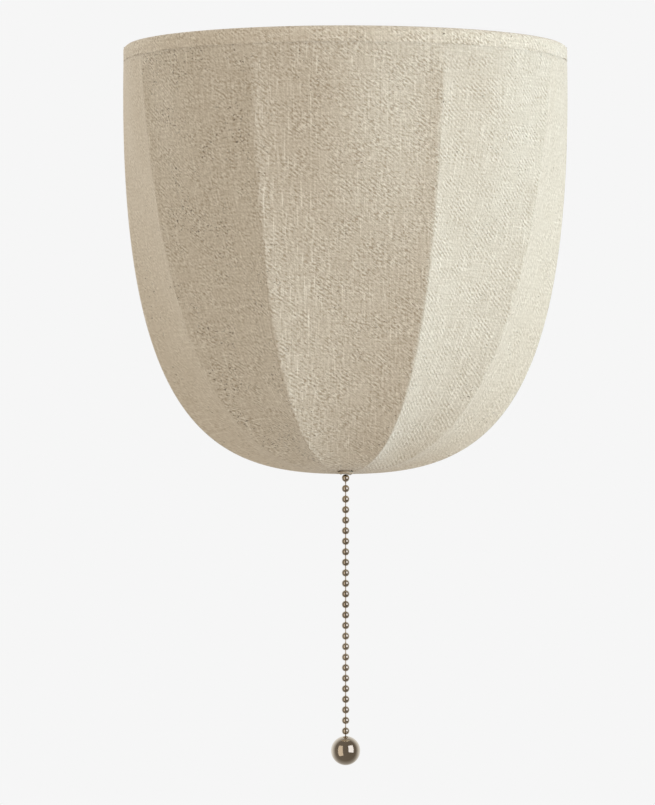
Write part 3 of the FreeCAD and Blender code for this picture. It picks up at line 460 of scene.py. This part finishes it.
chain = {
    "line": [(0, -0.0095, -0.08845), (0, -0.0095, -0.1150), (0, -0.0095, -0.1420),
             (0, -0.0095, -0.1690), (0, -0.0095, -0.1952)],
    "firstBead": 0.00315, "pitch": 0.0044, "beads": 24, "beadRadius": 0.0016, "flatAt": 0.00146,
    "linkRadius": 0.00026,
}


def ropeLine(points):
    curve = bpy.data.curves.new("chainLine", "CURVE")
    curve.dimensions = "3D"
    curve.resolution_u = 6
    spline = curve.splines.new("NURBS")
    spline.points.add(len(points) - 1)
    for spot, point in zip(spline.points, points):
        spot.co = (*point, 1)
    spline.order_u = 3
    spline.use_endpoint_u = True
    holder = bpy.data.objects.new("chainLine", curve)
    bpy.context.scene.collection.objects.link(holder)
    mesh = bpy.data.meshes.new_from_object(holder)
    line = [v.co.copy() for v in mesh.vertices]
    bpy.data.objects.remove(holder)
    return line


def alongLine(line, distance):
    for a, b in zip(line, line[1:]):
        step = (b - a).length
        if distance <= step:
            return a + (b - a) * (distance / step)
        distance -= step
    return line[-1]


def beadChain():
    line = ropeLine(chain["line"])
    bm = bmesh.new()
    steps = [chain["firstBead"] + chain["pitch"] * k for k in range(chain["beads"])]
    places = [alongLine(line, step) for step in steps]
    for place in places:
        made = bmesh.ops.create_uvsphere(bm, u_segments=20, v_segments=12,
                                         radius=chain["beadRadius"])
        bmesh.ops.translate(bm, verts=made["verts"], vec=place)
        # a pressed bead has small flats round its two holes
        for vert in made["verts"]:
            away = vert.co - place
            if abs(away.z) > chain["flatAt"]:
                vert.co.z = place.z + math.copysign(chain["flatAt"], away.z)
    stops = [line[0]] + places + [line[-1]]
    for a, b in zip(stops, stops[1:]):
        made = bmesh.ops.create_cone(bm, cap_ends=True, segments=10, radius1=chain["linkRadius"],
                                     radius2=chain["linkRadius"], depth=(b - a).length)
        bmesh.ops.translate(bm, verts=made["verts"], vec=(a + b) / 2)
    piece = finishPiece("chainBeads", bm, [finishes["nickel"]], "pull_chain")
    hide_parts("chain_lower")


beadChain()
print("bead chain hung")


def returnCoil():
    # the coil shortens as the plunger comes down; a copy of it stands in for the frame's node, which
    # is hidden
    node = nodes["return_spring"]
    mesh = node.data.copy()
    mesh.transform(node.matrix_world)
    piece = bpy.data.objects.new("returnCoil", mesh)
    bpy.context.scene.collection.objects.link(piece)
    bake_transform(piece)
    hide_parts("return_spring")


returnCoil()


shade = {
    "radius": 0.0930, "rimZ": 0.0950, "topZ": 0.0904, "poleZ": -0.0850,
    "wallGap": 0.0010, "thickness": 0.0008,
    # the outlines lean in degrees from the rim; their handles are metres long
    "rimHandle": 0.1650, "wallLean": 1.4, "wallFloor": 0.0539, "ribLean": -3.5, "ribFloor": 0.0342,
    "ribAngles": (-67.6, -25.6, 25.6, 67.6), "sags": (0.0010, 0.0026, 0.0032, 0.0026, 0.0010),
    # shares of a panel's length: where it leaves the rim's round, and where its seams pull it flat
    "rimBlends": (0.14, 0.24, 0.28, 0.24, 0.14), "underBinding": 0.014, "tightBy": 0.015,
    # the panels flatten onto the plate at the pole between these distances
    "calmRadius": 0.016, "sagRadius": 0.034, "calmRate": 25,
    "rows": 84, "columns": 20, "crowding": 0.6, "weld": 0.00002, "sliver": 0.000005,
    # puckers beside the seams, and ripples between them
    "rippleWaves": 70, "rippleHeight": 0.00012, "puckerRate": 190, "puckerWaves": 40,
    "puckerShift": 5, "puckerHeight": 0.00010, "puckerReach": 0.004, "puckerStart": 0.0012,
    "holePlace": (0, -0.0095, -0.0845), "holeRadius": 0.0029, "holeDepth": 0.006,
}
seams = ["wallLeft", *shade["ribAngles"], "wallRight"]
gores = list(zip(seams, seams[1:], shade["sags"], shade["rimBlends"]))


def clamped(x):
    return max(0.0, min(1.0, x))


def eased(x):
    return x * x * (3 - 2 * x)


def shadeOutline(lean, floorHandle):
    start = math.radians(lean)
    return [(shade["radius"], shade["rimZ"]),
            (shade["radius"] + shade["rimHandle"] * math.sin(start),
             shade["rimZ"] - shade["rimHandle"] * math.cos(start)),
            (floorHandle, shade["poleZ"]), (0.0, shade["poleZ"])]


wallOutline = shadeOutline(shade["wallLean"], shade["wallFloor"])
ribOutline = shadeOutline(shade["ribLean"], shade["ribFloor"])


def onOutline(poles, t):
    # radius, height and outward direction
    s = 1 - t
    weights = (s ** 3, 3 * s * s * t, 3 * s * t * t, t ** 3)
    slopes = (s * s, 2 * s * t, t * t)
    r = sum(w * p[0] for w, p in zip(weights, poles))
    z = sum(w * p[1] for w, p in zip(weights, poles))
    dr = sum(w * (b[0] - a[0]) for w, a, b in zip(slopes, poles, poles[1:]))
    dz = sum(w * (b[1] - a[1]) for w, a, b in zip(slopes, poles, poles[1:]))
    size = math.hypot(dr, dz)
    return r, z, (-dz / size, dr / size)


def startAt(poles, height):
    # where on the outline that height is, by halving
    low, high = 0.0, 1.0
    for _ in range(40):
        middle = (low + high) / 2
        low, high = (middle, high) if onOutline(poles, middle)[1] > height else (low, middle)
    return (low + high) / 2


wallStart, ribStart = startAt(wallOutline, shade["topZ"]), startAt(ribOutline, shade["topZ"])


def seamPoint(seam, share):
    if seam in ("wallLeft", "wallRight"):
        sign = -1 if seam == "wallLeft" else 1
        r, z, out = onOutline(wallOutline, wallStart + (1 - wallStart) * share)
        return Vector((sign * r, -shade["wallGap"], z)), Vector((sign * out[0], 0, out[1]))
    angle = math.radians(seam)
    r, z, out = onOutline(ribOutline, ribStart + (1 - ribStart) * share)
    point = Vector((r * math.sin(angle), min(-r * math.cos(angle), -shade["wallGap"]), z))
    return point, Vector((out[0] * math.sin(angle), -out[0] * math.cos(angle), out[1]))


def seamAngle(seam):
    return {"wallLeft": -90.0, "wallRight": 90.0}.get(seam, seam)


def gorePoint(gore, share, across):
    # across runs from -1 on the left seam to 1 on the right one, share from the rim to the pole
    left, right, sag, blend = gore
    halfAngle = math.radians(seamAngle(right) - seamAngle(left)) / 2
    a, outA = seamPoint(left, share)
    b, outB = seamPoint(right, share)
    chord = (b - a).length
    outward = (outA + outB).normalized()
    roundness = shade["radius"] - math.sqrt(max(shade["radius"] ** 2 - chord ** 2 / 4, 0))
    # under the binding the cloth keeps the rim's round, and below it goes flat beside the seams first
    free = max(0.0, share - shade["underBinding"])
    fade = max(0.0, 1 - (free / blend) ** 2) ** 2
    rounding = (1 - across ** 2) ** (1 + min(1.0, free / shade["tightBy"]))
    distance = chord / (2 * math.sin(halfAngle))
    calmed = distance - shade["calmRadius"]
    rise = clamped(calmed / (shade["sagRadius"] - shade["calmRadius"]))
    hollow = sag * math.sin(math.pi * share) * (1 - fade) * eased(rise)
    bulge = roundness * fade * rounding - hollow * (1 - across ** 2)
    point = (a + b) / 2 + (b - a) / 2 * across + outward * bulge
    calm = min(1.0, share * shade["calmRate"]) * rise
    ripple = noise.noise(point * shade["rippleWaves"]) * shade["rippleHeight"]
    ripple *= calm
    ripple *= 1 - across ** 4
    nearSeam = (1 - abs(across)) * chord / 2
    shift = noise.noise(point * shade["puckerWaves"]) * shade["puckerShift"]
    pucker = math.sin(share * shade["puckerRate"] + shift)
    pucker *= math.exp(-nearSeam / shade["puckerReach"])
    pucker *= shade["puckerHeight"] * calm * min(1.0, nearSeam / shade["puckerStart"]) * (1 - fade)
    return point + outward * (ripple + pucker), chord


def turnOutwards(bm):
    bmesh.ops.recalc_face_normals(bm, faces=bm.faces)
    foremost = max(bm.faces, key=lambda f: -f.calc_center_median().y)
    if foremost.normal.y > 0:
        bmesh.ops.reverse_faces(bm, faces=bm.faces)


def thicken(piece, thickness):
    shell = piece.modifiers.new("thickness", "SOLIDIFY")
    shell.thickness = thickness
    shell.offset = -1
    return shell


def shadeFabric():
    bm = bmesh.new()
    weave = bm.loops.layers.uv.new("weave")
    rows, columns = shade["rows"], shade["columns"]
    for count, gore in enumerate(gores):
        made = bmesh.ops.create_grid(bm, x_segments=columns, y_segments=rows, size=1)
        depths = [0.0]
        for k in range(rows):
            upper, lower = (gorePoint(gore, (k + j) / rows, 0)[0] for j in (0, 1))
            depths.append(depths[-1] + (lower - upper).length)
        flat = {}
        for vert in made["verts"]:
            across, down = vert.co.x, (1 - vert.co.y) / 2
            # closer columns beside the seams
            crowded = math.sin(across * math.pi / 2)
            across = crowded * shade["crowding"] + across * (1 - shade["crowding"])
            point, chord = gorePoint(gore, down, across)
            flat[vert] = (across * chord / 2 + count * linenLook["panelStep"],
                          -depths[round(down * rows)])
            vert.co = point
        for face in {f for vert in made["verts"] for f in vert.link_faces}:
            for loop in face.loops:
                loop[weave].uv = flat[loop.vert]
    bmesh.ops.remove_doubles(bm, verts=bm.verts, dist=shade["weld"])
    bmesh.ops.dissolve_degenerate(bm, edges=bm.edges, dist=shade["sliver"])
    turnOutwards(bm)
    area = sum(face.calc_area() for face in bm.faces)
    piece = finishPiece("shadeLinen", bm, [finishes["linen"], lining])
    thicken(piece, shade["thickness"]).material_offset = 1
    cutter = bmesh.new()
    bmesh.ops.create_cone(cutter, cap_ends=True, segments=40, radius1=shade["holeRadius"],
                          radius2=shade["holeRadius"], depth=shade["holeDepth"],
                          matrix=Matrix.Translation(shade["holePlace"]))
    hole = finishPiece("eyeletHole", cutter, [], body=None)
    cut = piece.modifiers.new("hole", "BOOLEAN")
    cut.object = hole
    cut.operation = "DIFFERENCE"
    cut.solver = "EXACT"
    applyModifiers(piece)
    bpy.data.objects.remove(hole)
    return piece, area


hem = {
    "hoopRadius": 0.0908, "hoopZ": 0.0924, "outer": 0.00240, "inner": 0.00190, "lowZ": 0.0880,
    "lip": 0.00005, "segments": 96, "faceSteps": 5, "outerSteps": 12, "innerSteps": 10,
    # how far the cut edge is pressed up and in, and how far the two faces turn out to it
    "pressedUp": 0.0005, "pressedIn": 0.0002, "pressedOut": 0.0001, "turnedOut": 0.00012,
    # a slight waver: waves per radian and per metre, and metres
    "waverTurns": 9, "waverRise": 60, "waverHeight": 0.000154,
    "edgeTurns": 14, "edgeHeight": 0.00018,
    "planStart": 2.3, "insideStart": 0.009,
}


def clothRadius(around, z):
    # how far out the cloth's face is, at an angle round the upright axis and a height near the rim
    gore = next((g for g in gores if math.degrees(around) <= seamAngle(g[1])), gores[-1])
    left, right = math.radians(seamAngle(gore[0])), math.radians(seamAngle(gore[1]))
    across = math.tan(around - (left + right) / 2) / math.tan((right - left) / 2)
    share = (startAt(ribOutline, z) - ribStart) / (1 - ribStart)
    point, _ = gorePoint(gore, max(0.0, share), max(-1.0, min(1.0, across)))
    return math.hypot(point.x, point.y)


def hemProfile():
    # closed outline of the folded binding, as (radius, height)
    def arc(radius, start, turn, steps):
        angles = [math.radians(start + turn * k / steps) for k in range(steps + 1)]
        return [(hem["hoopRadius"] + radius * math.cos(a), hem["hoopZ"] + radius * math.sin(a))
                for a in angles]

    outside = arc(hem["outer"], 0, 180, hem["outerSteps"])
    inside = arc(hem["inner"], 180, -180, hem["innerSteps"])
    low, steps = hem["lowZ"], hem["faceSteps"]
    face = [(outside[0][0], low + (hem["hoopZ"] - low) * k / steps) for k in range(steps)]
    # the cut edge inside the shade is pressed together
    end = [(outside[-1][0], low + hem["pressedUp"]), (outside[-1][0] + hem["pressedIn"], low),
           (inside[0][0] - hem["pressedOut"], low)]
    return face + outside + end + inside + [(inside[-1][0] + hem["turnedOut"], low)]


def shadeHem():
    bm = bmesh.new()
    tilt = math.asin(shade["wallGap"] / hem["hoopRadius"])
    corners = [(r * math.cos(tilt), -r * math.sin(tilt), z) for r, z in hemProfile()]
    section = bm.faces.new([bm.verts.new(corner) for corner in corners])
    bmesh.ops.spin(bm, geom=[section, *section.edges, *section.verts], cent=(0, 0, 0),
                   axis=(0, 0, -1), angle=math.pi - 2 * tilt, steps=hem["segments"])
    for vert in bm.verts:
        around, reach = math.atan2(vert.co.x, -vert.co.y), math.hypot(vert.co.x, vert.co.y)
        out = Vector((vert.co.x, vert.co.y, 0)).normalized()
        low = clamped((hem["hoopZ"] - vert.co.z) / (hem["hoopZ"] - hem["lowZ"]))
        if low > 0 and reach > hem["hoopRadius"] + hem["inner"]:
            # the lower edge comes down to just above the cloth
            skin = clothRadius(around, vert.co.z) + hem["lip"]
            vert.co += out * (skin - reach) * eased(low)
        else:
            place = Vector((around * hem["waverTurns"], vert.co.z * hem["waverRise"], 3))
            vert.co += out * noise.noise(place) * hem["waverHeight"]
        edgePlace = Vector((around * hem["edgeTurns"], 7, 1))
        vert.co.z += noise.noise(edgePlace) * hem["edgeHeight"] * low
    bmesh.ops.recalc_face_normals(bm, faces=bm.faces)
    weave = bm.loops.layers.uv.new("weave")
    for face in bm.faces:
        for loop in face.loops:
            co = loop.vert.co
            r = math.hypot(co.x, co.y)
            turn = math.atan2(max(co.z - hem["hoopZ"], 0), r - hem["hoopRadius"])
            rolled = turn * hem["outer"] if co.z > hem["hoopZ"] else 0
            drop = min(co.z - hem["hoopZ"], 0)
            side = drop if r > hem["hoopRadius"] else hem["insideStart"] - drop
            along = math.atan2(co.x, -co.y) * shade["radius"]
            loop[weave].uv = (along + hem["planStart"], rolled + side)
    return finishPiece("shadeHem", bm, [finishes["linen_binding"]])


tape = {"depth": 0.006, "thickness": 0.0007, "y": -0.0007, "belowRim": 0.0006, "steps": 120,
        "rows": 4, "weld": 0.00001, "planStart": 3.0}


def wallTape():
    bm = bmesh.new()
    weave = bm.loops.layers.uv.new("weave")
    made = bmesh.ops.create_grid(bm, x_segments=tape["steps"], y_segments=tape["rows"], size=1)
    start = startAt(wallOutline, shade["rimZ"] - tape["belowRim"])
    for vert in made["verts"]:
        run, inwards = vert.co.x, (1 - vert.co.y) / 2 * tape["depth"]
        sign = -1 if run < 0 else 1
        r, z, out = onOutline(wallOutline, start + (1 - start) * (1 - abs(run)))
        vert.co = (sign * (r - out[0] * inwards), tape["y"], z - out[1] * inwards)
    for face in bm.faces:
        for loop in face.loops:
            loop[weave].uv = (loop.vert.co.x + tape["planStart"], loop.vert.co.z)
    bmesh.ops.remove_doubles(bm, verts=bm.verts, dist=tape["weld"])
    turnOutwards(bm)
    piece = finishPiece("wallTape", bm, [finishes["linen_binding"]])
    thicken(piece, tape["thickness"])
    applyModifiers(piece)
    return piece


fabric, fabricArea = shadeFabric()
binding = shadeHem()
backTape = wallTape()
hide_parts("panel_wall_left", "panel_side_left", "panel_front", "panel_side_right",
            "panel_wall_right", "bottom_patch")
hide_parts("top_hem")
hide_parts("back_tape")
print("fabric sewn, %.4f square metres" % fabricArea)
